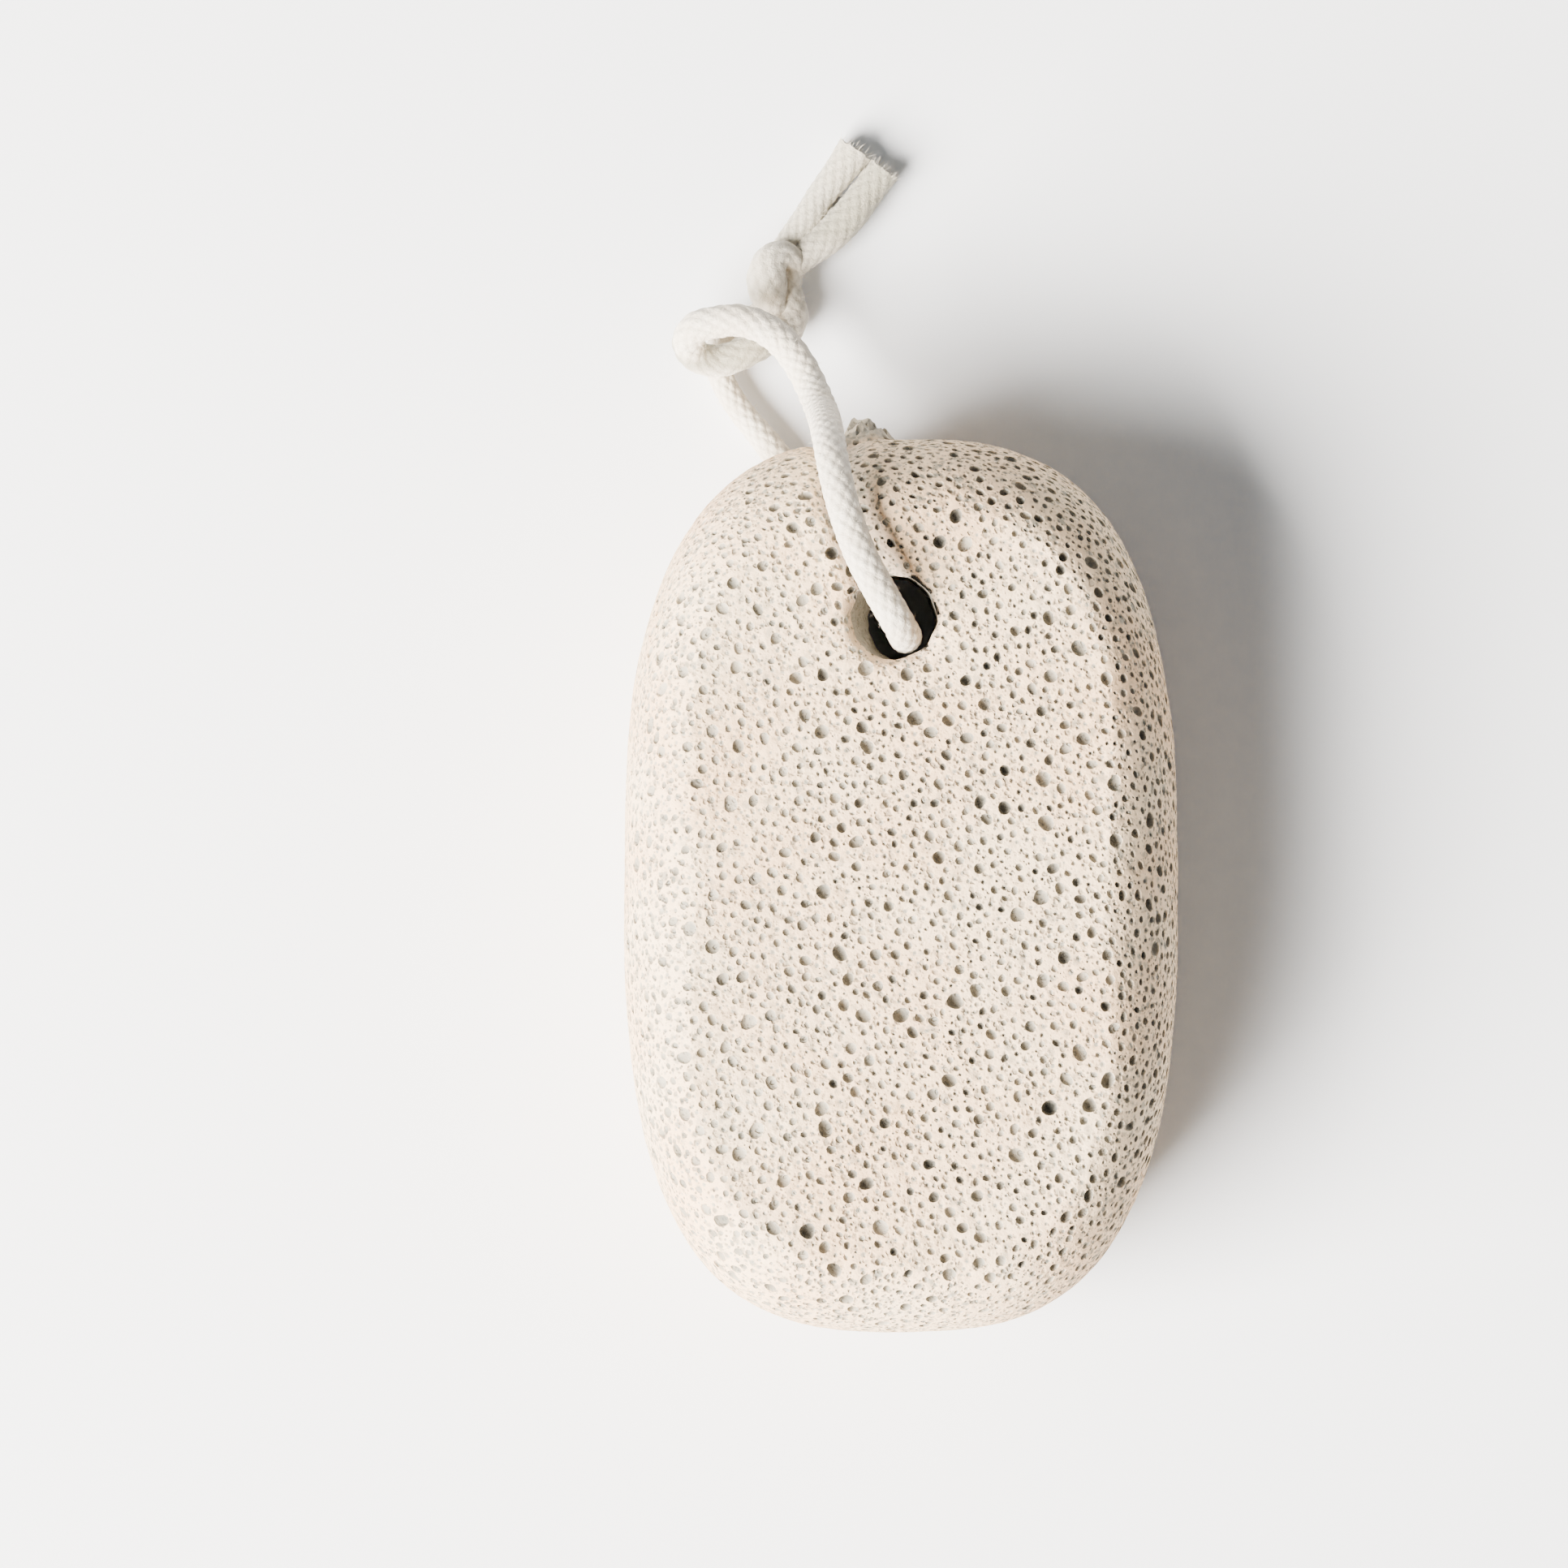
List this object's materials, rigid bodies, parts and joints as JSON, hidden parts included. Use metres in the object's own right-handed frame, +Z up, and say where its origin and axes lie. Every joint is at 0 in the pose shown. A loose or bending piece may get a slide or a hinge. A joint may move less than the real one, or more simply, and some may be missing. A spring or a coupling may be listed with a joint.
{
  "type": "pumice stone",
  "caption": "Oblong rounded pumice foot stone with a drilled hole near one end, on a knotted cotton hanging rope, lying on its back.",
  "frame": {"origin": "on the surface that the stone lies on, under the middle of the stone", "axes": "+Z up, out of the stone's front face; +Y along the stone, towards the end with the hole and the rope; +X across the stone, to the right as seen from the front"},
  "size_m": [0.062, 0.1342, 0.0398],
  "materials": {
    "pumice": "matt, dry and porous, warm cream with grey-brown pores",
    "cotton": "soft braided cotton, off-white, matt"
  },
  "bodies": {
    "root": {"stone": "pumice", "rope_front": "cotton", "rope_back": "cotton", "rope_knot": "cotton", "rope_tail_left": "cotton", "rope_tail_right": "cotton"}
  },
  "joints": []
}
